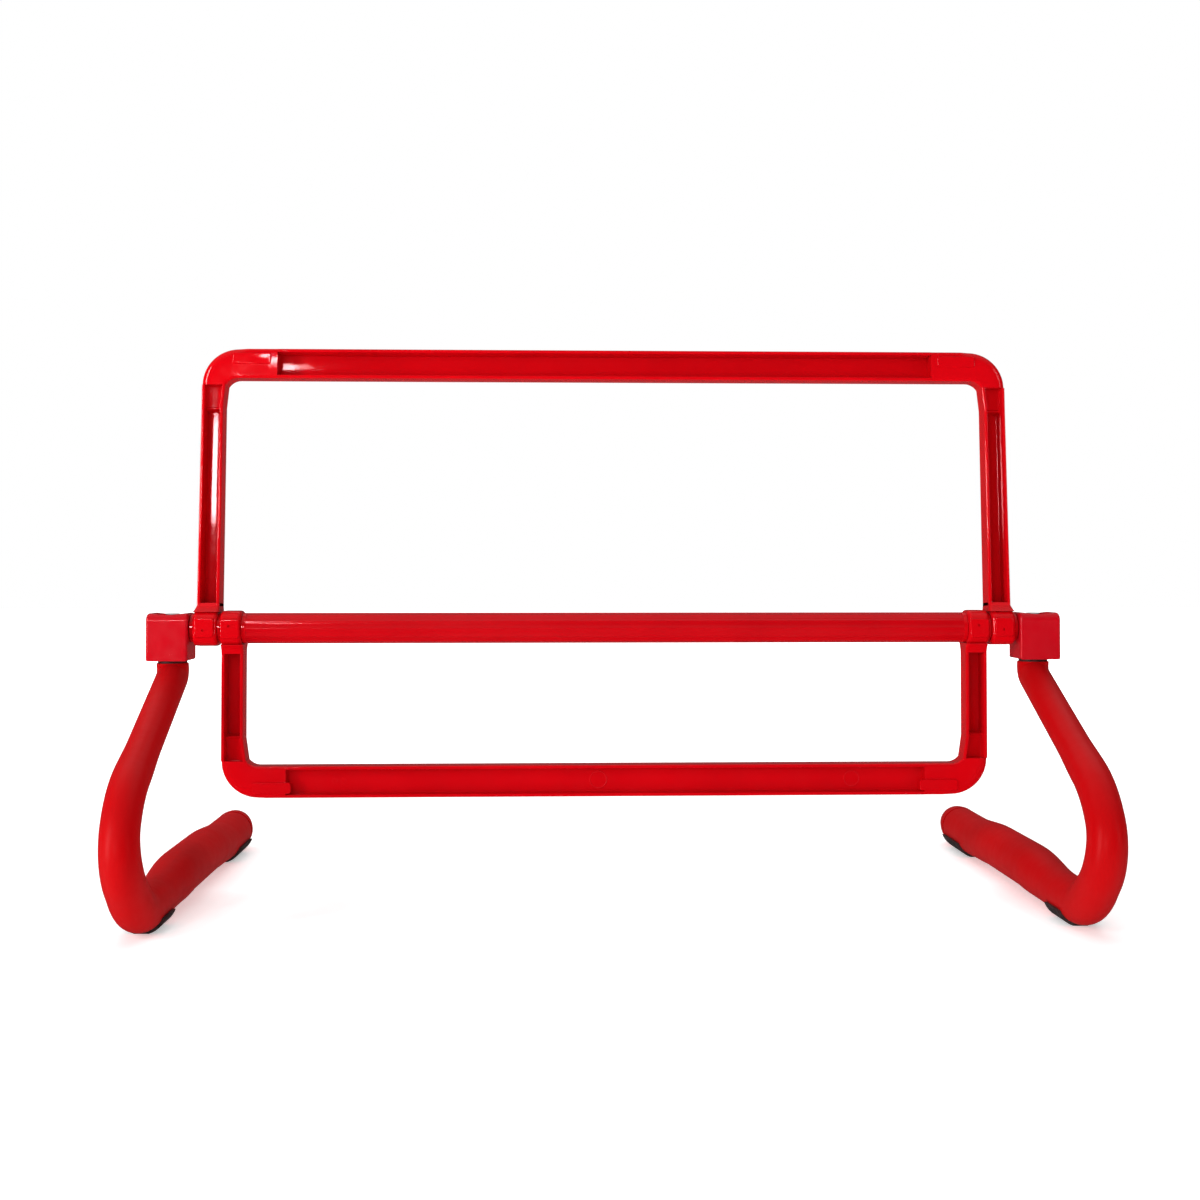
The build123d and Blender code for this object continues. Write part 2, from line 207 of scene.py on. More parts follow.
# %% Camera
view_yaw = math.radians(2.1)
view_pitch = math.radians(1.2)
view_distance = 850 * MM
view_side_step = 4 * MM
eye_height = 174 * MM
lens_mm = 45.9
shift_down = 0.0517

right = Vector((math.cos(view_yaw), -math.sin(view_yaw), 0))
ahead = Vector((math.sin(view_yaw), math.cos(view_yaw), 0))
eye = Vector((0, axis.y, 0)) - right * view_side_step - ahead * view_distance
eye.z = eye_height
look = ahead * math.cos(view_pitch) + Vector((0, 0, math.sin(view_pitch)))
camera_data = bpy.data.cameras.new("studio_camera")
camera = bpy.data.objects.new("studio_camera", camera_data)
scene.collection.objects.link(camera)
camera.location = eye
camera.rotation_mode = "QUATERNION"
camera.rotation_quaternion = look.to_track_quat("-Z", "Y")
camera_data.lens = lens_mm
camera_data.shift_y = -shift_down
scene.camera = camera
print("camera at", [round(v, 3) for v in eye])

# %% [markdown]
# ## The red gloss of the mouldings
# The bars, crossbar and brackets are injection-moulded in one red plastic with a polished tool.
# Such a surface isn't perfectly flat: it cools unevenly, so its reflections wander a little, and
# handling leaves faint scuffs that show only as changes in gloss. Three noises make this: a long
# soft one bends the reflections, a short one gives the fine orange-peel skin, and a third varies
# the roughness. Edges get a little paler where hands and floors rub them. They are found with an
# inward-looking ambient occlusion, because that works on any mesh, however few points it has.


# %% Helpers for materials
def new_material(name):
    """Empty node material; returns it with its tree and its shader."""
    material = bpy.data.materials.new(name)
    material.use_nodes = True
    tree = material.node_tree
    return material, tree, tree.nodes["Principled BSDF"]


def add_node(tree, kind, **settings):
    """Add a node and set its properties and input values by name."""
    node = tree.nodes.new(kind)
    for key, value in settings.items():
        if hasattr(node, key):
            setattr(node, key, value)
        else:
            node.inputs[key.replace("_", " ")].default_value = value
    return node


def object_space(tree, stretch=(1, 1, 1)):
    """Object coordinates, stretched: a small factor makes a pattern longer that way."""
    source = add_node(tree, "ShaderNodeTexCoord")
    mapping = add_node(tree, "ShaderNodeMapping")
    mapping.inputs["Scale"].default_value = stretch
    tree.links.new(source.outputs["Object"], mapping.inputs["Vector"])
    return mapping.outputs["Vector"]


def noise(tree, where, scale, detail=2.0):
    """Noise value at a place; scale is in cells per metre."""
    node = add_node(tree, "ShaderNodeTexNoise", Scale=scale, Detail=detail)
    tree.links.new(where, node.inputs["Vector"])
    return node.outputs["Fac"]


def ramp(tree, value, low, high, out_low, out_high):
    """Map a value from one range to another, held at both ends."""
    node = add_node(tree, "ShaderNodeMapRange")
    node.inputs["From Min"].default_value = low
    node.inputs["From Max"].default_value = high
    node.inputs["To Min"].default_value = out_low
    node.inputs["To Max"].default_value = out_high
    tree.links.new(value, node.inputs["Value"])
    return node.outputs["Result"]


def colour_mix(tree, factor, first, second):
    """Mix of two colours, each a tuple or a socket."""
    node = add_node(tree, "ShaderNodeMix", data_type="RGBA")
    tree.links.new(factor, node.inputs["Factor"])
    sockets = [s for s in node.inputs if s.type == "RGBA"]
    for socket, value in zip(sockets, (first, second)):
        if isinstance(value, tuple):
            socket.default_value = (*value, 1)
        else:
            tree.links.new(value, socket)
    return [s for s in node.outputs if s.type == "RGBA"][0]


def add_bumps(tree, shader, layers):
    """Chain of bumps, each (height socket, depth in metres)."""
    normal = None
    for height, depth in layers:
        bump = add_node(tree, "ShaderNodeBump", Distance=depth, Strength=1.0)
        tree.links.new(height, bump.inputs["Height"])
        if normal is not None:
            tree.links.new(normal, bump.inputs["Normal"])
        normal = bump.outputs["Normal"]
    tree.links.new(normal, shader.inputs["Normal"])


# %% Glossy red plastic
edge_reach = 0.7 * MM
wave_depth = 0.09 * MM
skin_depth = 0.008 * MM
gloss_level = 0.5
gloss_tint = (1.0, 0.5, 0.53, 1)


def glossy_plastic(name, colour, worn, gloss_low, gloss_high, along=(1, 1, 1)):
    """Polished moulding: soft waves, fine skin, scuffed gloss and rubbed edges."""
    material, tree, shader = new_material(name)
    where = object_space(tree, along)
    even = object_space(tree)
    cloud = noise(tree, even, 22, 3)
    deeper = tuple(c * 0.9 for c in colour)
    body = colour_mix(tree, ramp(tree, cloud, 0.35, 0.7, 0, 1), deeper, colour)
    hidden = add_node(tree, "ShaderNodeAmbientOcclusion", inside=True, samples=4, Distance=edge_reach)
    edge = ramp(tree, hidden.outputs["AO"], 0.35, 0.75, 0.45, 0)
    tinted = colour_mix(tree, edge, body, worn)
    tree.links.new(tinted, shader.inputs["Base Color"])
    scuff = noise(tree, where, 160, 4)
    tree.links.new(ramp(tree, scuff, 0.3, 0.75, gloss_low, gloss_high), shader.inputs["Roughness"])
    add_bumps(tree, shader, [(noise(tree, where, 40, 1), wave_depth),
                             (noise(tree, even, 900, 2), skin_depth)])
    shader.inputs["Specular IOR Level"].default_value = gloss_level
    shader.inputs["Specular Tint"].default_value = gloss_tint
    return material


bar_red = (0.58, 0.0012, 0.0045)
crossbar_red = (0.49, 0.0012, 0.0045)
bracket_red = (0.50, 0.0012, 0.0075)
worn_red = (0.64, 0.012, 0.018)
bar_plastic = glossy_plastic("bar_plastic", bar_red, worn_red, 0.03, 0.09)
crossbar_plastic = glossy_plastic("crossbar_plastic", crossbar_red, worn_red, 0.08, 0.18, (0.05, 1, 1))
bracket_plastic = glossy_plastic("bracket_plastic", bracket_red, worn_red, 0.14, 0.28)
print("gloss made for", bar_plastic.name, crossbar_plastic.name, bracket_plastic.name)

# %% [markdown]
# ## The satin skin of the legs
# The legs are blown in a sand-blasted mould, so their skin is satin with a fine grain and shows
# only broad, weak glints. The grain is a very fine noise bump, the colour is a slightly deeper red,
# and upward faces are made paler in soft patches: a painted sheen of the light from above, with a
# little dust in it. A higher roughness does the rest.


# %% Satin red plastic
dent_depth = 0.3 * MM
grain_depth = 0.01 * MM
satin_level = 0.15
satin_tint = (1.0, 0.3, 0.3, 1)


def satin_plastic(name, colour, sheen_and_dust):
    """Blown moulding: fine grain, broad gloss and a painted sheen with a little dust on upward faces."""
    material, tree, shader = new_material(name)
    where = object_space(tree)
    patches = noise(tree, where, 30, 4)
    facing = add_node(tree, "ShaderNodeTexCoord")
    split = add_node(tree, "ShaderNodeSeparateXYZ")
    tree.links.new(facing.outputs["Normal"], split.inputs["Vector"])
    # Painted sheen: faces that look upwards are mixed towards a paler red in soft patches, standing in for
    # light from above, with a little dust.
    upward_sheen = ramp(tree, split.outputs["Z"], 0.2, 1.0, 0, 1)
    sheen_and_dust_film = add_node(tree, "ShaderNodeMath", operation="MULTIPLY")
    tree.links.new(upward_sheen, sheen_and_dust_film.inputs[0])
    tree.links.new(ramp(tree, patches, 0.4, 0.75, 0.0, 0.05), sheen_and_dust_film.inputs[1])
    tinted = colour_mix(tree, sheen_and_dust_film.outputs["Value"], colour, sheen_and_dust)
    tree.links.new(tinted, shader.inputs["Base Color"])
    tree.links.new(ramp(tree, patches, 0.3, 0.7, 0.32, 0.42), shader.inputs["Roughness"])
    add_bumps(tree, shader, [(noise(tree, where, 60, 2), dent_depth),
                             (noise(tree, where, 1500, 2), grain_depth)])
    shader.inputs["Specular IOR Level"].default_value = satin_level
    shader.inputs["Specular Tint"].default_value = satin_tint
    return material


leg_red = (0.45, 0.0012, 0.0025)
# Paler red of the painted sheen on upward faces, with a little dust in it.
sheen_and_dust_red = (0.55, 0.07, 0.08)
leg_plastic = satin_plastic("leg_plastic", leg_red, sheen_and_dust_red)
print("satin made for", leg_plastic.name)

# %% [markdown]
# ## Small finishes: rubber and zinc
# The pads, rings and washers are dark rubber or nylon, with a matt, slightly mottled surface. The
# screws are zinc-plated steel, a soft grey metal with fine turning marks.


# %% Rubber and zinc
pit_depth = 0.05 * MM
turning_depth = 0.02 * MM
zinc_dark, zinc_light = (0.50, 0.51, 0.53), (0.66, 0.66, 0.67)


def rubber(name, colour, roughness):
    """Matt dark rubber with a mottled, finely pitted surface."""
    material, tree, shader = new_material(name)
    where = object_space(tree)
    mottle = noise(tree, where, 300, 4)
    lighter = tuple(c * 1.8 + 0.01 for c in colour)
    speckle = colour_mix(tree, ramp(tree, mottle, 0.4, 0.7, 0, 1), colour, lighter)
    tree.links.new(speckle, shader.inputs["Base Color"])
    dullness = ramp(tree, mottle, 0.3, 0.7, roughness - 0.08, roughness + 0.08)
    tree.links.new(dullness, shader.inputs["Roughness"])
    add_bumps(tree, shader, [(noise(tree, where, 2200, 2), pit_depth)])
    return material


def zinc(name):
    """Zinc-plated steel with fine turning marks."""
    material, tree, shader = new_material(name)
    where = object_space(tree, (1, 1, 12))
    marks = noise(tree, where, 900, 3)
    tree.links.new(colour_mix(tree, marks, zinc_dark, zinc_light), shader.inputs["Base Color"])
    tree.links.new(ramp(tree, marks, 0.3, 0.7, 0.26, 0.42), shader.inputs["Roughness"])
    add_bumps(tree, shader, [(marks, turning_depth)])
    shader.inputs["Metallic"].default_value = 1.0
    return material


pad_rubber = rubber("pad_rubber", (0.020, 0.010, 0.010), 0.7)
ring_rubber = rubber("ring_rubber", (0.012, 0.012, 0.012), 0.55)
washer_nylon = rubber("washer_plastic", (0.030, 0.003, 0.002), 0.5)
zinc_steel = zinc("steel")
print("small finishes made")

# %% [markdown]
# ## Helpers that turn points into a finished piece
# Every piece is a plain mesh whose vertices already stand in their place, so its object stays at
# the origin. Two helpers cover this: one makes an object from points and faces, the other skins a
# row of equal loops, which is how a long moulding with a changing section is built.


# %% Mesh helpers
weld = 0.002 * MM


def clean(mesh):
    """Merge doubles and turn the faces outwards; returns the open bmesh."""
    work = bmesh.new()
    work.from_mesh(mesh)
    bmesh.ops.remove_doubles(work, verts=work.verts, dist=weld)
    bmesh.ops.recalc_face_normals(work, faces=work.faces)
    return work


def finish_mesh(mesh, name, material, smooth_angle=35):
    """Merge doubles, turn faces outwards, smooth, and link the mesh as a new object."""
    work = clean(mesh)
    sharp = math.radians(smooth_angle)
    for edge in work.edges:
        edge.smooth = len(edge.link_faces) == 2 and edge.calc_face_angle(0) < sharp
    for face in work.faces:
        face.smooth = True
        face.material_index = 0
    work.to_mesh(mesh)
    work.free()
    mesh.materials.clear()
    mesh.materials.append(material)
    piece = bpy.data.objects.new(name, mesh)
    scene.collection.objects.link(piece)
    flatter = piece.modifiers.new("flatter_faces", "WEIGHTED_NORMAL")
    flatter.keep_sharp = True
    return piece


def skin(name, loops):
    """Closed mesh from a row of loops with equal numbers of points."""
    count = len(loops[0])
    points = [p for loop in loops for p in loop]
    faces = []
    for row in range(len(loops) - 1):
        for i in range(count):
            j = (i + 1) % count
            faces.append((row * count + i, row * count + j, (row + 1) * count + j, (row + 1) * count + i))
    faces.append(tuple(range(count)))
    faces.append(tuple((len(loops) - 1) * count + i for i in range(count)))
    mesh = bpy.data.meshes.new(name)
    mesh.from_pydata([tuple(p) for p in points], [], faces)
    return mesh


def report(piece):
    """Print a piece's name, size and triangles."""
    piece.data.calc_loop_triangles()
    size = [round(v / MM, 1) for v in piece.dimensions]
    print(piece.name, "size", size, "mm,", len(piece.data.loop_triangles), "triangles")


# %% [markdown]
# ## The U bars
# Both U bars are open channels, like a gutter bent round two corners: two thin walls, a back, and
# closed corners that are crowned like a pillow. The mould gives them a step in the floor near each
# corner and a square end where the channel stops. One rule describes all of this, so a bar is
# skinned from loops that follow the U. Each loop is a section with its own width and pocket
# depth, and where the depth jumps, two loops lie almost on top of each other and make a wall.

# %% Section of a U bar
bar_depth = 12 * MM
wall = 1.8 * MM
rim_round = 0.8 * MM
pocket_draft = 0.3 * MM
pocket_fillet = 0.8 * MM
back_round = 1.0 * MM
crown_steps = 7
swell = 0.05 * MM
arc_middle = 0.29   # how far in the middle of a quarter round lies, as a share of its radius
lip = 0.4 * MM
deep = 10 * MM
shallow = 5.5 * MM
broad_crown = (5.0 * MM, 2.6 * MM)
narrow_crown = (1.6 * MM, 1.0 * MM)


def half_front(width, depth, crown_width, crown_drop):
    """Front outline from one side face to the middle: (distance in, depth below the front)."""
    if depth <= 0:
        outline = []
        for step in range(crown_steps):
            angle = math.pi / 2 * step / (crown_steps - 1)
            drop = crown_drop * (1 - math.sin(angle)) + swell
            outline.append((crown_width * (1 - math.cos(angle)), drop))
        rest = width / 2 - crown_width
        shares = (0.25, 0.5, 0.75, 1)
        outline += [(crown_width + rest * share, swell * (1 - share) ** 2) for share in shares]
        return outline
    foot = wall + pocket_draft
    return [(0, rim_round), (arc_middle * rim_round, arc_middle * rim_round), (rim_round, 0),
            (wall - lip, 0), (wall - lip / 4, lip / 4), (wall, lip), (foot, depth - pocket_fillet),
            (foot + 0.3 * pocket_fillet, depth - 0.3 * pocket_fillet), (foot + pocket_fillet, depth),
            (width / 2 - pocket_fillet, depth), (width / 2, depth)]


def section(outer, inner, depth, outer_crown, inner_crown, thicker=0.0):
    """Closed loop of points between an outer and an inner point of the U, front at -Y."""
    width = (outer - inner).length
    into = (inner - outer).normalized()
    outer_half = half_front(width, depth, *outer_crown)
    inner_half = half_front(width, depth, *inner_crown)
    inset = arc_middle * back_round
    back_corner = [(0, bar_depth - back_round), (inset, bar_depth - inset), (back_round, bar_depth)]
    loop = back_corner[::-1]
    loop += outer_half
    loop += [(width - a, d) for a, d in reversed(inner_half[:-1])]
    loop += [(width - a, d) for a, d in back_corner]
    points = []
    for a, d in loop:
        place = outer + into * a
        from_middle = (d - bar_depth / 2) * (1 + 2 * thicker / bar_depth)
        points.append(Vector((place.x, axis.y + from_middle, place.z)))
    return points


# %% [markdown]
# ## Path of a U bar
# The section travels along one arm, round a corner, along the bar and back along the other arm. At
# each stop it has its own width and channel depth, so the step in the channel and its square end
# come out of the same row of loops.

# %% Path of a U bar
outer_radius = 20 * MM
inner_radius = 8 * MM
corner_steps = 14
wall_run = 0.25 * MM
step_run = 1.6 * MM
crown_run = 5 * MM
flare_reach = 6 * MM
flare_steps = 6
foot_swell = 3.2 * MM


def u_loops(half_width, reach, arm_width, bar_height, up, hub_top, overhang, arm_floor, bar_floor):
    """Loops of a whole U bar; the floors are rows of (place along the arm or bar, depth)."""
    inner_reach = reach - bar_height
    centre_x = half_width - outer_radius
    outer_z = reach - outer_radius
    inner_z = inner_reach - inner_radius

    def at(x, w):
        return Vector((x, axis.y, axis.z + up * w))

    half = []
    flare = [(hub_top + flare_reach * step / flare_steps, 0) for step in range(flare_steps)]
    for w, depth in flare + arm_floor:
        foot_share = max(0, 1 - (w - hub_top) / flare_reach) ** 2
        turn = math.asin(max(0, w - inner_z) / inner_radius)
        outer = at(-half_width - overhang * foot_share, w)
        inner = at(-centre_x - inner_radius * math.cos(turn), w)
        half.append(section(outer, inner, depth, narrow_crown, narrow_crown, foot_swell * foot_share))
    first_turn = math.asin((outer_z - inner_z) / inner_radius)
    for step in range(corner_steps + 1):
        share = step / corner_steps
        outer_turn = math.pi / 2 * share
        inner_turn = first_turn + (math.pi / 2 - first_turn) * share
        outer = at(-centre_x - outer_radius * math.cos(outer_turn),
                   outer_z + outer_radius * math.sin(outer_turn))
        inner = at(-centre_x - inner_radius * math.cos(inner_turn),
                   inner_z + inner_radius * math.sin(inner_turn))
        half.append(section(outer, inner, 0, broad_crown, narrow_crown))
    for x, depth in [(-centre_x + crown_run, 0)] + bar_floor:
        half.append(section(at(x, reach), at(x, inner_reach), depth, narrow_crown, narrow_crown))
    return half + [[Vector((-p.x, p.y, p.z)) for p in loop] for loop in reversed(half)]


# %% [markdown]
# ## Hubs and pads of a U bar
# Each foot of a U bar ends in a rounded square hub, bored for the axle, and each closed corner
# carries a low raised pad beside it. They are simple bevelled blocks, joined to the skin with an
# exact Boolean, because one closed mesh shades and exports better than several that overlap. A
# narrow live bevel would eat the thin rims, so the soft edges are built into each part instead.


# %% Rounded blocks and Booleans
tiny = 1e-6         # metres; shorter runs than this count as none
overrun = 1 * MM    # how far a cutting tool sticks out of what it cuts


def edge_run(edge, along):
    """How far an edge runs along one axis."""
    return abs((edge.verts[0].co - edge.verts[1].co)[along])


def rounded_block(name, low, high, along=0, corner=0.0, edge=0.0, corner_steps=6, edge_steps=4):
    """Block with its four edges along one axis rounded by corner, and its end faces by edge."""
    work = bmesh.new()
    bmesh.ops.create_cube(work, size=1)
    for vertex in work.verts:
        for i in range(3):
            vertex.co[i] = high[i] if vertex.co[i] > 0 else low[i]
    if corner > 0:
        runs = [e for e in work.edges if edge_run(e, along) > tiny]
        bmesh.ops.bevel(work, geom=runs, offset=corner, segments=corner_steps, profile=0.5, affect="EDGES")
    if edge > 0:
        ends = [e for e in work.edges if edge_run(e, along) < tiny / 10]
        bmesh.ops.bevel(work, geom=ends, offset=edge, segments=edge_steps, profile=0.5, affect="EDGES")
    mesh = bpy.data.meshes.new(name)
    work.to_mesh(mesh)
    work.free()
    return mesh


def rod(name, start, end, radius, steps=64):
    """Closed cylinder between two points."""
    work = bmesh.new()
    run = Vector(end) - Vector(start)
    bmesh.ops.create_cone(work, cap_ends=True, segments=steps, radius1=radius, radius2=radius,
                          depth=run.length)
    turn = run.to_track_quat("Z", "Y").to_matrix().to_4x4()
    middle = Matrix.Translation((Vector(start) + Vector(end)) / 2)
    bmesh.ops.transform(work, matrix=middle @ turn, verts=work.verts)
    mesh = bpy.data.meshes.new(name)
    work.to_mesh(mesh)
    work.free()
    return mesh


def combine(base, tools):
    """Mesh of base after a list of (operation, mesh) Booleans, done exactly."""
    body = bpy.data.objects.new("combine_base", base)
    scene.collection.objects.link(body)
    helpers = []
    for operation, mesh in tools:
        helper = bpy.data.objects.new("combine_tool", mesh)
        scene.collection.objects.link(helper)
        helpers.append(helper)
        modifier = body.modifiers.new("combine", "BOOLEAN")
        modifier.operation = operation
        modifier.solver = "EXACT"
        modifier.object = helper
    depsgraph = bpy.context.evaluated_depsgraph_get()
    result = bpy.data.meshes.new_from_object(body.evaluated_get(depsgraph))
    for leftover in [body] + helpers:
        bpy.data.objects.remove(leftover)
    return result


# %% [markdown]
# ## One U bar
# The swept channel gets its hubs, the raised plates on them, the corner pads and the bores here.
# Both bars are built by the same function, so they stay alike.

# %% Build one U bar
hub_side = 19.4 * MM
hub_corner = 6.0 * MM
hub_edge = 2.0 * MM
journal_radius = 5.05 * MM
pad_length = 21 * MM
pad_from_corner = 3 * MM
pad_from_edge = 2.4 * MM
pad_height = 6.2 * MM
pad_raise = 0.7 * MM
pad_bevel = 0.6 * MM
plate_half = 5.3 * MM
plate_raise = 0.9 * MM
plate_corner = 1.6 * MM
plate_root = 1 * MM
pad_root = 2 * MM
pad_corner = 1.2 * MM
dimple_radius = 0.7 * MM
dimple_aside = 0.5 * MM
dimple_below = 1.5 * MM


def u_bar(name, half_width, reach, bar_height, up, hub_low, hub_high, loops):
    """One closed mesh of a U bar with its two hubs and two corner pads."""
    base = skin(name, loops)
    work = clean(base)
    work.to_mesh(base)
    work.free()
    front = axis.y - bar_depth / 2
    half = hub_side / 2
    face = axis.y - half
    tools = []
    for side in (-1, 1):
        x_low, x_high = sorted((side * hub_low, side * hub_high))
        hub = rounded_block("hub", (x_low, face, axis.z - half), (x_high, axis.y + half, axis.z + half),
                            corner=hub_corner, edge=hub_edge)
        tools.append(("UNION", hub))
        middle = (x_low + x_high) / 2
        plate = rounded_block("plate", (middle - plate_half, face - plate_raise, axis.z - plate_half),
                              (middle + plate_half, face + plate_root, axis.z + plate_half), along=1,
                              corner=plate_corner, edge=plate_raise * 0.9, corner_steps=4, edge_steps=3)
        tools.append(("UNION", plate))
        x, z = middle - dimple_aside, axis.z - up * dimple_below
        dimple = rod("dimple", (x, face - overrun, z), (x, face, z), dimple_radius, 24)
        tools.append(("DIFFERENCE", dimple))
        near = half_width - outer_radius + pad_from_corner
        x_low, x_high = sorted((side * near, side * (near - pad_length)))
        z_edge = axis.z + up * (reach - pad_from_edge)
        z_far = axis.z + up * (reach - pad_from_edge - pad_height)
        z_low, z_high = sorted((z_edge, z_far))
        pad = rounded_block("pad", (x_low, front - pad_raise, z_low), (x_high, front + pad_root, z_high),
                            along=1, corner=pad_corner, edge=pad_bevel, corner_steps=3, edge_steps=2)
        tools.append(("UNION", pad))
        x_low, x_high = sorted((side * (hub_low - overrun), side * (hub_high + overrun)))
        bore = rod("bore", (x_low, axis.y, axis.z), (x_high, axis.y, axis.z), journal_radius)
        tools.append(("DIFFERENCE", bore))
    return combine(base, tools)


# %% [markdown]
# ## The large bar
# The large bar stands up and gives the tallest jump. Its arms are 12 mm wide and its top bar a
# little taller, with a deep channel that stops in a square end near each corner.

# %% Large bar
arm_width = 12.4 * MM
large_bar_height = 16.4 * MM
large_hub_low = 213.2 * MM
large_channel_start = 12 * MM
large_channel_half = 183 * MM
ledge_from_edge = 33 * MM
ledge_rib = 0.9 * MM

large_arm_floor = [
    (large_channel_start, 0),
    (large_channel_start + wall_run, deep),
    (large_reach - ledge_from_edge - step_run, deep),
    (large_reach - ledge_from_edge - wall_run, shallow - ledge_rib),
    (large_reach - ledge_from_edge, shallow - ledge_rib),
    (large_reach - ledge_from_edge + ledge_rib, shallow),
    (large_reach - outer_radius - wall_run, shallow),
]
large_bar_floor = [(-large_channel_half, 0), (-large_channel_half + wall_run, deep)]
loops = u_loops(large_half_width, large_reach, arm_width, large_bar_height, 1, hub_side / 2 - MM,
                hub_overhang, large_arm_floor, large_bar_floor)
mesh = u_bar("large_bar_moulding", large_half_width, large_reach, large_bar_height, 1,
             large_hub_low, large_high.x, loops)
to_axis = Matrix.Translation(axis)
mesh.transform(to_axis @ Matrix.Rotation(-large_lean, 4, "X") @ to_axis.inverted())
large_bar = finish_mesh(mesh, "large_bar_moulding", bar_plastic)
report(large_bar)

# %% [markdown]
# ## The small bar
# The small bar hangs down inside the large one. It is the same kind of moulding, mirrored to point
# downwards, with its own height, its own hubs and a shallow channel.

# %% Small bar
small_bar_height = 17.2 * MM
small_hub_low = 200.2 * MM
small_hub_high = 211.6 * MM
small_channel_start = 13.8 * MM
small_channel_half = 176 * MM

small_arm_floor = [
    (small_channel_start, 0),
    (small_channel_start + wall_run, deep),
    (small_reach - ledge_from_edge - step_run, deep),
    (small_reach - ledge_from_edge - wall_run, shallow - ledge_rib),
    (small_reach - ledge_from_edge, shallow - ledge_rib),
    (small_reach - ledge_from_edge + ledge_rib, shallow),
    (small_reach - outer_radius - wall_run, shallow),
]
small_bar_floor = [(-small_channel_half, 0), (-small_channel_half + wall_run, shallow)]
loops = u_loops(small_half_width, small_reach, arm_width, small_bar_height, -1, hub_side / 2 - MM,
                0.0, small_arm_floor, small_bar_floor)
mesh = u_bar("small_bar_moulding", small_half_width, small_reach, small_bar_height, -1,
             small_hub_low, small_hub_high, loops)
small_bar = finish_mesh(mesh, "small_bar_moulding", bar_plastic)
report(small_bar)

# %% [markdown]
# ## The ridged crossbar
# The crossbar is an extruded tube with twelve shallow flutes, so its shape follows a rule, and
# Geometry Nodes can say that rule exactly. A rectangle swept round a circle gives a plain closed
# tube, and then every outside point moves towards the axis by the depth of a round flute at its
# angle. Changing the number of flutes or their depth is then one number, not a new drawing.


# %% Node helpers for geometry
def math_node(tree, operation, first, second=None):
    """Math node fed by sockets or numbers; returns its result."""
    node = tree.nodes.new("ShaderNodeMath")
    node.operation = operation
    for socket, value in zip(node.inputs, (first, second)):
        if value is None:
            continue
        if isinstance(value, (int, float)):
            socket.default_value = value
        else:
            tree.links.new(value, socket)
    return node.outputs[0]


def new_tree(name, sizes):
    """Geometry node tree with named inputs and one geometry output."""
    tree = bpy.data.node_groups.new(name, "GeometryNodeTree")
    tree.interface.new_socket("Geometry", in_out="OUTPUT", socket_type="NodeSocketGeometry")
    tree.interface.new_socket("Geometry", in_out="INPUT", socket_type="NodeSocketGeometry")
    for label, (kind, value) in sizes.items():
        socket = tree.interface.new_socket(label, in_out="INPUT", socket_type=kind)
        socket.default_value = value
    return tree, tree.nodes.new("NodeGroupInput"), tree.nodes.new("NodeGroupOutput")


def run_tree(tree, name, values, start=None):
    """Run a tree on an object with inputs set by identifier; returns the plain mesh."""
    source = bpy.data.objects.new(name + "_source", start or bpy.data.meshes.new(name + "_start"))
    scene.collection.objects.link(source)
    modifier = source.modifiers.new("shape", "NODES")
    modifier.node_group = tree
    for item in tree.interface.items_tree:
        if item.in_out == "INPUT" and item.name in values:
            modifier[item.identifier] = values[item.name]
    source.update_tag()
    depsgraph = bpy.context.evaluated_depsgraph_get()
    mesh = bpy.data.meshes.new_from_object(source.evaluated_get(depsgraph))
    bpy.data.objects.remove(source)
    return mesh


# %% Tree of the fluted tube
tree, given, result = new_tree("fluted_tube", {
    "Half Length": ("NodeSocketFloat", 0.2),
    "Ridge Radius": ("NodeSocketFloat", 0.0084),
    "Bore Radius": ("NodeSocketFloat", 0.0065),
    "Flutes": ("NodeSocketInt", 12),
    "Flute Depth": ("NodeSocketFloat", 0.00045),
    "Flute Radius": ("NodeSocketFloat", 0.0114),
    "Points Per Flute": ("NodeSocketInt", 16),
})
link = tree.links.new
ridge, bore = given.outputs["Ridge Radius"], given.outputs["Bore Radius"]
middle = math_node(tree, "MULTIPLY", math_node(tree, "ADD", ridge, bore), 0.5)
thickness = math_node(tree, "SUBTRACT", ridge, bore)
points_round = math_node(tree, "MULTIPLY", given.outputs["Flutes"], given.outputs["Points Per Flute"])

circle = tree.nodes.new("GeometryNodeCurvePrimitiveCircle")
link(points_round, circle.inputs["Resolution"])
link(middle, circle.inputs["Radius"])
outline = tree.nodes.new("GeometryNodeCurvePrimitiveQuadrilateral")
link(thickness, outline.inputs["Width"])
link(math_node(tree, "MULTIPLY", given.outputs["Half Length"], 2), outline.inputs["Height"])
swept = tree.nodes.new("GeometryNodeCurveToMesh")
link(circle.outputs["Curve"], swept.inputs["Curve"])
link(outline.outputs["Curve"], swept.inputs["Profile Curve"])

position = tree.nodes.new("GeometryNodeInputPosition")
parts = tree.nodes.new("ShaderNodeSeparateXYZ")
link(position.outputs["Position"], parts.inputs["Vector"])
angle = math_node(tree, "ARCTAN2", parts.outputs["Y"], parts.outputs["X"])
pitch = math_node(tree, "DIVIDE", 2 * math.pi, given.outputs["Flutes"])
in_pitch = math_node(tree, "FLOORED_MODULO", angle, pitch)
from_flute = math_node(tree, "SUBTRACT", in_pitch, math_node(tree, "MULTIPLY", pitch, 0.5))
flute_radius = given.outputs["Flute Radius"]
touching = math_node(tree, "ADD", ridge, flute_radius)
centre = math_node(tree, "SUBTRACT", touching, given.outputs["Flute Depth"])
beside = math_node(tree, "MULTIPLY", centre, math_node(tree, "SINE", from_flute))
under_root = math_node(tree, "SUBTRACT", math_node(tree, "MULTIPLY", flute_radius, flute_radius),
                       math_node(tree, "MULTIPLY", beside, beside))
root = math_node(tree, "SQRT", math_node(tree, "MAXIMUM", under_root, 0))
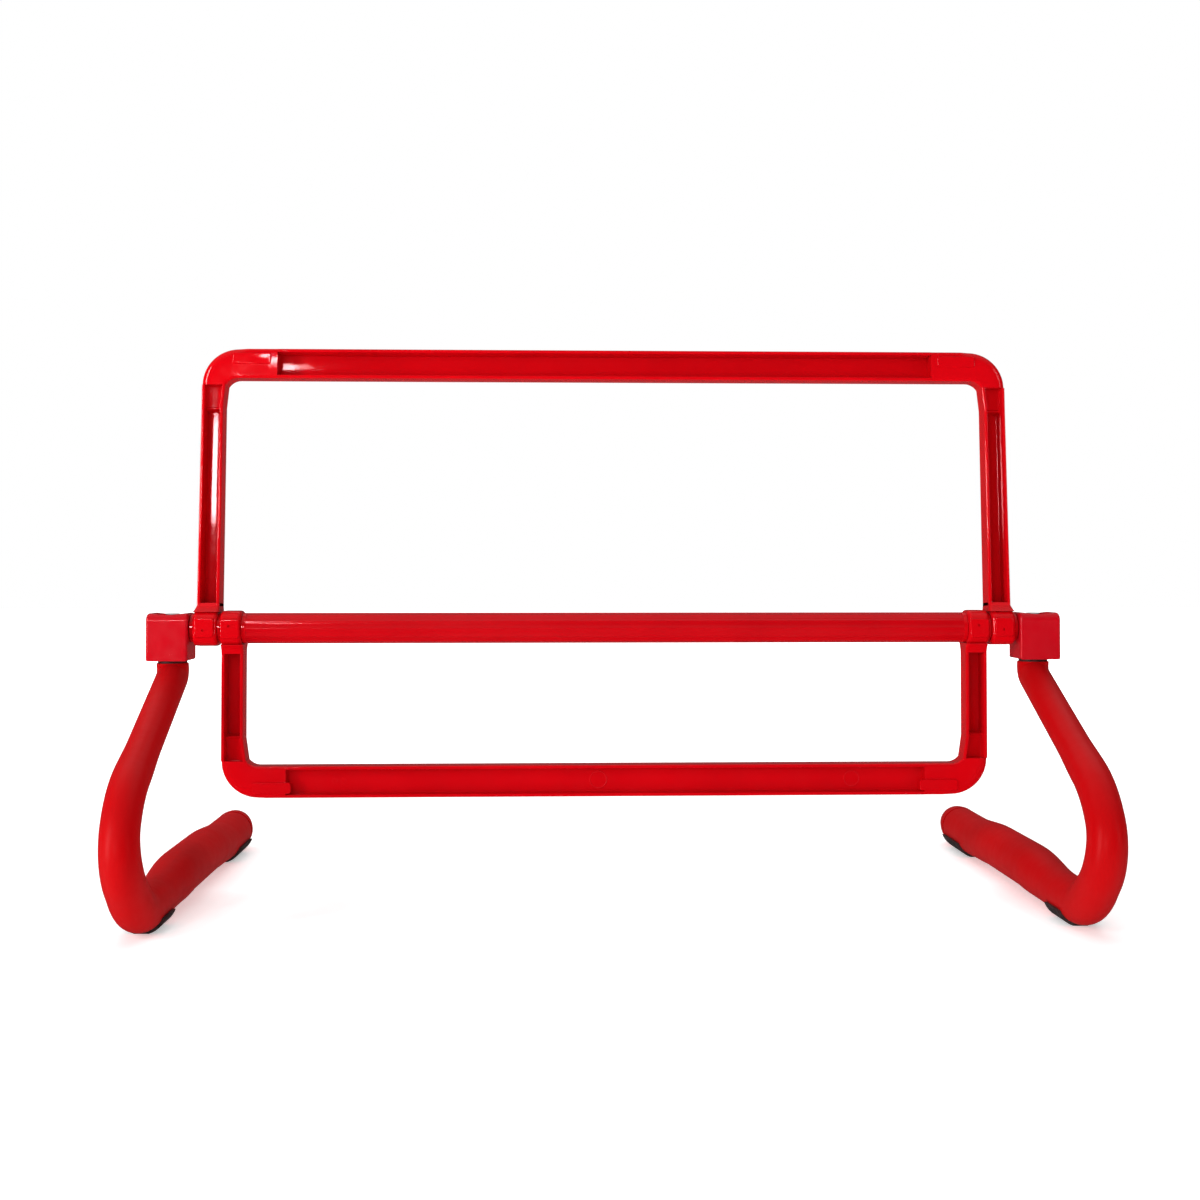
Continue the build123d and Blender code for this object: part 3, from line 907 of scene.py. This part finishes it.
ahead = math_node(tree, "MULTIPLY", centre, math_node(tree, "COSINE", from_flute))
floor_radius = math_node(tree, "SUBTRACT", ahead, root)
cut = math_node(tree, "MAXIMUM", math_node(tree, "SUBTRACT", ridge, floor_radius), 0)
in_flute = math_node(tree, "GREATER_THAN", under_root, 0)
x_squared = math_node(tree, "MULTIPLY", parts.outputs["X"], parts.outputs["X"])
y_squared = math_node(tree, "MULTIPLY", parts.outputs["Y"], parts.outputs["Y"])
across = math_node(tree, "SQRT", math_node(tree, "ADD", x_squared, y_squared))
outside = math_node(tree, "GREATER_THAN", across, middle)
inward = math_node(tree, "MULTIPLY", math_node(tree, "MULTIPLY", cut, in_flute), outside)
shrink = math_node(tree, "SUBTRACT", 1, math_node(tree, "DIVIDE", inward, across))
moved = tree.nodes.new("ShaderNodeCombineXYZ")
link(parts.outputs["Z"], moved.inputs["X"])
link(math_node(tree, "MULTIPLY", parts.outputs["X"], shrink), moved.inputs["Y"])
link(math_node(tree, "MULTIPLY", parts.outputs["Y"], shrink), moved.inputs["Z"])
carve = tree.nodes.new("GeometryNodeSetPosition")
link(swept.outputs["Mesh"], carve.inputs["Geometry"])
link(moved.outputs["Vector"], carve.inputs["Position"])
place = tree.nodes.new("GeometryNodeTransform")
link(carve.outputs["Geometry"], place.inputs["Geometry"])
place.inputs["Translation"].default_value = (0, axis.y, axis.z)
real = tree.nodes.new("GeometryNodeRealizeInstances")
link(place.outputs["Geometry"], real.inputs["Geometry"])
coat = tree.nodes.new("GeometryNodeSetMaterial")
coat.inputs["Material"].default_value = crossbar_plastic
link(real.outputs["Geometry"], coat.inputs["Geometry"])
link(coat.outputs["Geometry"], result.inputs["Geometry"])
print("fluted tube tree has", len(tree.nodes), "nodes")

# %% Crossbar
mesh = run_tree(tree, "crossbar_tube", {"Half Length": tube_half_length, "Ridge Radius": tube_radius})
crossbar = finish_mesh(mesh, "crossbar_tube", crossbar_plastic, 60)
report(crossbar)

# %% [markdown]
# ## Ejector marks on the small bar
# Where the pins of the mould push a moulding out, they leave faint round rings on the floor of the
# channel. They repeat in different sizes, so a node tree sets one ring on each point of a short list
# and scales it by the size stored at that point.

# %% Tree of the ejector marks
marks_tree, given, result = new_tree("ejector_marks", {"Rim Share": ("NodeSocketFloat", 0.06)})
link = marks_tree.links.new
ring_line = marks_tree.nodes.new("GeometryNodeCurvePrimitiveCircle")
ring_line.inputs["Resolution"].default_value = 40
ring_line.inputs["Radius"].default_value = 1.0
ring_rim = marks_tree.nodes.new("GeometryNodeCurvePrimitiveCircle")
ring_rim.inputs["Resolution"].default_value = 8
link(given.outputs["Rim Share"], ring_rim.inputs["Radius"])
ring_mesh = marks_tree.nodes.new("GeometryNodeCurveToMesh")
link(ring_line.outputs["Curve"], ring_mesh.inputs["Curve"])
link(ring_rim.outputs["Curve"], ring_mesh.inputs["Profile Curve"])
size_at_point = marks_tree.nodes.new("GeometryNodeInputNamedAttribute")
size_at_point.data_type = "FLOAT"
size_at_point.inputs["Name"].default_value = "mark_radius"
spread_out = marks_tree.nodes.new("GeometryNodeInstanceOnPoints")
link(given.outputs["Geometry"], spread_out.inputs["Points"])
link(ring_mesh.outputs["Mesh"], spread_out.inputs["Instance"])
spread_out.inputs["Rotation"].default_value = (math.pi / 2, 0, 0)
link(size_at_point.outputs["Attribute"], spread_out.inputs["Scale"])
real = marks_tree.nodes.new("GeometryNodeRealizeInstances")
link(spread_out.outputs["Instances"], real.inputs["Geometry"])
coat = marks_tree.nodes.new("GeometryNodeSetMaterial")
coat.inputs["Material"].default_value = bar_plastic
link(real.outputs["Geometry"], coat.inputs["Geometry"])
link(coat.outputs["Geometry"], result.inputs["Geometry"])

# %% Ejector marks
mark_list = [(-150, 1.5), (-145, 1.5), (-5, 4.6), (136, 4.2)]
floor_y = axis.y - bar_depth / 2 + shallow
bar_middle_z = axis.z - small_reach + small_bar_height / 2
mark_points = bpy.data.meshes.new("mark_points")
mark_points.from_pydata([(x * MM, floor_y, bar_middle_z) for x, _ in mark_list], [], [])
sizes = mark_points.attributes.new("mark_radius", "FLOAT", "POINT")
for value, (_, mark_radius) in zip(sizes.data, mark_list):
    value.value = mark_radius * MM
mesh = run_tree(marks_tree, "small_bar_marks", {"Rim Share": 0.06}, mark_points)
small_marks = finish_mesh(mesh, "small_bar_marks", bar_plastic, 60)
report(small_marks)

# %% [markdown]
# ## The brackets
# A bracket is the block at each end that holds the axle from inside and the leg from below. It is
# a solid moulding with rounded edges and a dished top, where the screw goes in. It is easiest to
# carve: a bevelled block, less a saddle across its top, the dish, the two sockets and the screw
# hole. The sizes follow the CAD node, so the screw and the axle still fit.

# %% Brackets
bracket_panel = 0.8 * MM
panel_edge = 3.2 * MM
panel_corner = 2 * MM
top_round, upright_round = 4.4 * MM, 1.4 * MM
saddle_radius, saddle_depth = 51 * MM, 0.8 * MM
dish_depth, dish_margin, dish_corner = 2.4 * MM, 2.6 * MM, 3 * MM
socket_gap, socket_end_gap = 0.05 * MM, 0.5 * MM
peg_radius = 6.0 * MM
peg_length = 11.2 * MM
tenon_half = 4.0 * MM
tenon_length = 17.0 * MM
screw_radius = 2.05 * MM
joint_places = {joint["name"]: Vector(joint["pos_m"]) for joint in frame["joints"]}


def bracket(name, side):
    """Mesh of one bracket, carved from a bevelled block."""
    low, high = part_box(name)
    base = rounded_block(name, low, high)
    work = bmesh.new()
    work.from_mesh(base)
    tops = [e for e in work.edges if min(v.co.z for v in e.verts) > high.z - tiny and edge_run(e, 0) > tiny]
    bmesh.ops.bevel(work, geom=tops, offset=top_round, segments=8, profile=0.5, affect="EDGES")
    outline = [e for e in work.edges if edge_run(e, 0) < tiny / 10]
    bmesh.ops.bevel(work, geom=outline, offset=upright_round, segments=4, profile=0.5, affect="EDGES",
                    clamp_overlap=True)
    work.to_mesh(base)
    work.free()

    pivot = joint_places["left_leg_swivel" if side < 0 else "right_leg_swivel"]
    middle = (low.x + high.x) / 2
    saddle_z = high.z - saddle_depth + saddle_radius
    saddle = rod("saddle", (middle, low.y - overrun, saddle_z), (middle, high.y + overrun, saddle_z),
                 saddle_radius, 720)
    dish = rounded_block("dish", (low.x + dish_margin, low.y + 2 * dish_margin, high.z - dish_depth),
                         (high.x - dish_margin, high.y - 2 * dish_margin, high.z + 2 * overrun),
                         along=2, corner=dish_corner)
    socket_top = pivot.z + peg_length + socket_end_gap
    peg_socket = rod("peg_socket", (pivot.x, pivot.y, low.z - overrun), (pivot.x, pivot.y, socket_top),
                     peg_radius + socket_gap)
    screw_hole = rod("screw_hole", (pivot.x, pivot.y, low.z), (pivot.x, pivot.y, high.z + overrun),
                     screw_radius, 32)
    inner_x, outer_x = (low.x, high.x) if side > 0 else (high.x, low.x)
    x_low, x_high = sorted((inner_x - side * overrun, inner_x + side * tenon_length))
    tenon_socket = rounded_block("tenon_socket", (x_low, axis.y - tenon_half, axis.z - tenon_half),
                                 (x_high, axis.y + tenon_half, axis.z + tenon_half))
    x_low, x_high = sorted((outer_x - side * bracket_panel, outer_x + side * overrun))
    panel = rounded_block("panel", (x_low, low.y + panel_edge, low.z + panel_edge),
                          (x_high, high.y - panel_edge, high.z - top_round), corner=panel_corner)
    tools = (saddle, dish, peg_socket, screw_hole, tenon_socket, panel)
    return combine(base, [("DIFFERENCE", tool) for tool in tools])


brackets = {}
for side, side_name in ((-1, "left"), (1, "right")):
    node = f"{side_name}_bracket"
    brackets[side_name] = finish_mesh(bracket(node, side), f"{node}_moulding", bracket_plastic, 30)
    report(brackets[side_name])

# %% [markdown]
# ## The legs
# A leg is one blown tube: it comes down from the bracket, slopes forward, turns back under itself
# in a hook and runs back along the floor as a thicker tail with a rounded tip. A tape measure and
# a few angles describe it, so it is drawn like a turtle's walk: go straight, bend, go straight.
# The radius eases from step to step, which is what makes a blown tube look soft. A curve with a
# bevel could do this too, but the walk gives exact places for the two flat stretches on the floor.

# %% Walk of a leg
lean = math.radians(5.9)
limb_slope = 23.0
knee_slope = 50.0
hook_split = 130.0
top_bend, knee_bend, hook_bend, swell_bend, tip_bend = 9.2 * MM, 70 * MM, 22.5 * MM, 150 * MM, 60 * MM
limb_r, bulge_r, hook_r, sole_r = 8.6 * MM, 9.3 * MM, 10.0 * MM, 10.6 * MM
tail_r, heel_r, tip_r = 12.3 * MM, 11.8 * MM, 10.8 * MM
hook_taper = 8 * MM
swell_angle, fall_angle, tip_turn = 4.0, 3.0, 6.0
swell_rise = 3.3 * MM
even_share = 0.7    # part of the limb before it starts to swell
tail_run, tip_run = 54 * MM, 8 * MM
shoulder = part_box("left_leg_thrust_washer")[0].z
pad_thickness = 1.0 * MM
sole_height = sole_r + pad_thickness


def rise_between(start, end):
    """Difference of cosines of two slopes in degrees."""
    return math.cos(math.radians(start)) - math.cos(math.radians(end))


def swell_run(rise, angle):
    """Straight part of a gentle step in the tail."""
    return (rise - 2 * swell_bend * rise_between(0, angle)) / math.sin(math.radians(angle))


drop = (shoulder - sole_height) / math.cos(lean)
bends = top_bend * math.cos(math.radians(limb_slope)) + knee_bend * rise_between(limb_slope, knee_slope)
bends += hook_bend * rise_between(knee_slope, hook_split) + hook_taper * math.sin(math.radians(hook_split))
bends += hook_bend * (math.cos(math.radians(hook_split)) + 1)
limb = (drop - bends) / math.sin(math.radians(limb_slope))
print("limb length", round(limb / MM, 1), "mm")

pad_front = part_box("left_leg_front_pad")
pad_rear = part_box("left_leg_rear_pad")
walk = [
    ("bend", top_bend, 90 - limb_slope, limb_r),
    ("line", limb * even_share, 0, limb_r),
    ("line", limb * (1 - even_share), 0, bulge_r),
    ("bend", knee_bend, limb_slope - knee_slope, bulge_r),
    ("bend", hook_bend, knee_slope - hook_split, hook_r),
    ("line", hook_taper, 0, (hook_r + sole_r) / 2),
    ("bend", hook_bend, hook_split - 180, sole_r),
    ("line", pad_front[1].y - pad_front[0].y, 0, sole_r),
    ("bend", swell_bend, -swell_angle, sole_r),
    ("line", swell_run(swell_rise, swell_angle), 0, tail_r),
    ("bend", swell_bend, swell_angle, tail_r),
    ("line", tail_run, 0, tail_r),
    ("bend", swell_bend, fall_angle, tail_r),
    ("line", swell_run(swell_rise + sole_r - heel_r, fall_angle), 0, heel_r),
    ("bend", swell_bend, -fall_angle, heel_r),
    ("line", pad_rear[1].y - pad_rear[0].y, 0, heel_r),
    ("roll", 0, 90 + math.degrees(lean), heel_r),
    ("bend", tip_bend, tip_turn, heel_r),
    ("line", tip_run, 0, tip_r),
]


# %% [markdown]
# ## Skin of a leg
# The walk gives a row of places, and a round ring of points is put at each of them. All rings have
# the same number of points, so they are joined face by face into one closed skin from the peg to
# the tip. The roll in the walk turns two rings against each other, and the skin is pinched there.

# %% Skin of a leg
step_length = 2.5 * MM
around = 48
tip_rings = 10
tip_spare = 0.35    # keeps the last ring open, so that the end face has a size
downwards = Matrix(((0, -1, 0, 0), (-1, 0, 0, 0), (0, 0, -1, 0), (0, 0, 0, 1)))


def walk_places():
    """Places and radii along a left leg, with its pivot at x = 0, y = 0."""
    place = Matrix.Translation((0, 0, shoulder)) @ Matrix.Rotation(-lean, 4, "Y") @ downwards
    rows = [(place.copy(), limb_r)]
    radius = limb_r
    for kind, size, degrees, end_radius in walk:
        turn = math.radians(degrees)
        if kind == "roll":
            place = place @ Matrix.Rotation(turn, 4, "Z")
            continue
        length = size if kind == "line" else size * abs(turn)
        count = max(2, round(length / step_length))
        for step in range(1, count + 1):
            share = step / count
            if kind == "line":
                here = place @ Matrix.Translation((0, 0, size * share))
            else:
                hinge = Matrix.Translation((math.copysign(size, turn), 0, 0))
                here = place @ hinge @ Matrix.Rotation(turn * share, 4, "Y") @ hinge.inverted()
            ease = share * share * (3 - 2 * share)
            rows.append((here, radius + (end_radius - radius) * ease))
        place = here
        radius = end_radius
    return rows


def leg_mesh(name, side, pivot):
    """Closed skin of one leg with its round peg and its rounded tip."""
    rows = walk_places()
    angles = [2 * math.pi * i / around for i in range(around)]
    circle = [(math.cos(angle), math.sin(angle)) for angle in angles]

    def ring(place, radius):
        return [place @ Vector((radius * x, radius * y, 0)) for x, y in circle]

    def level_ring(height, radius):
        return ring(Matrix.Translation((0, 0, height)) @ downwards, radius)

    rim = 0.7 * MM
    peg_top = shoulder + peg_length
    loops = [level_ring(peg_top, peg_radius - rim), level_ring(peg_top - rim, peg_radius),
             level_ring(shoulder, peg_radius), level_ring(shoulder, limb_r - rim * 0.5),
             level_ring(shoulder - rim * 0.2, limb_r - rim * 0.12),
             level_ring(shoulder - rim * 0.6, limb_r)]
    loops += [ring(place, radius) for place, radius in rows[1:]]
    end, radius = rows[-1]
    for step in range(1, tip_rings + 1):
        angle = math.pi / 2 * step / (tip_rings + tip_spare)
        ahead = Matrix.Translation((0, 0, radius * math.sin(angle)))
        loops.append(ring(end @ ahead, radius * math.cos(angle)))
    loops = [[Vector((-side * p.x + pivot.x, p.y + pivot.y, p.z)) for p in loop] for loop in loops]
    return skin(name, loops)


# %% Legs
legs = {}
for side, side_name in ((-1, "left"), (1, "right")):
    pivot = joint_places[f"{side_name}_leg_swivel"]
    mesh = leg_mesh(f"{side_name}_leg_tube", side, pivot)
    legs[side_name] = finish_mesh(mesh, f"{side_name}_leg_tube", leg_plastic, 50)
    report(legs[side_name])

# %% [markdown]
# ## Pieces that stay as CAD made them
# The axles, collars, rings, pins, washers, pads and screws already have their right shape, so they
# keep it and only get a finish that suits them.

# %% Finishes for CAD nodes
finishes = {
    "axle": bar_plastic, "hub_collar": bar_plastic, "bracket_collar": bar_plastic,
    "friction_ring": ring_rubber, "plug_pin": zinc_steel, "pivot_screw": zinc_steel,
    "thrust_washer": washer_nylon, "front_pad": pad_rubber, "rear_pad": pad_rubber,
}
painted = 0
for node, cad in frame["nodes"].items():
    for ending, material in finishes.items():
        if node.endswith(ending):
            for slot in cad.material_slots:
                slot.material = material
            painted += 1
print(painted, "CAD nodes painted")

# %% [markdown]
# ## Fix every piece to the body it moves with
# Each new piece replaces its CAD node and rides on the same body, so it swings or swivels with it.

# %% Ride and replace
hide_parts("large_bar")
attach(large_bar, "large_bar")
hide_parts("small_bar")
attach(small_bar, "small_bar")
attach(small_marks, "small_bar")
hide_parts("crossbar")
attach(crossbar, "crossbar_assembly")
for side_name in ("left", "right"):
    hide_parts(f"{side_name}_bracket")
    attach(brackets[side_name], "crossbar_assembly")
    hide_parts(f"{side_name}_leg")
    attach(legs[side_name], f"{side_name}_leg")
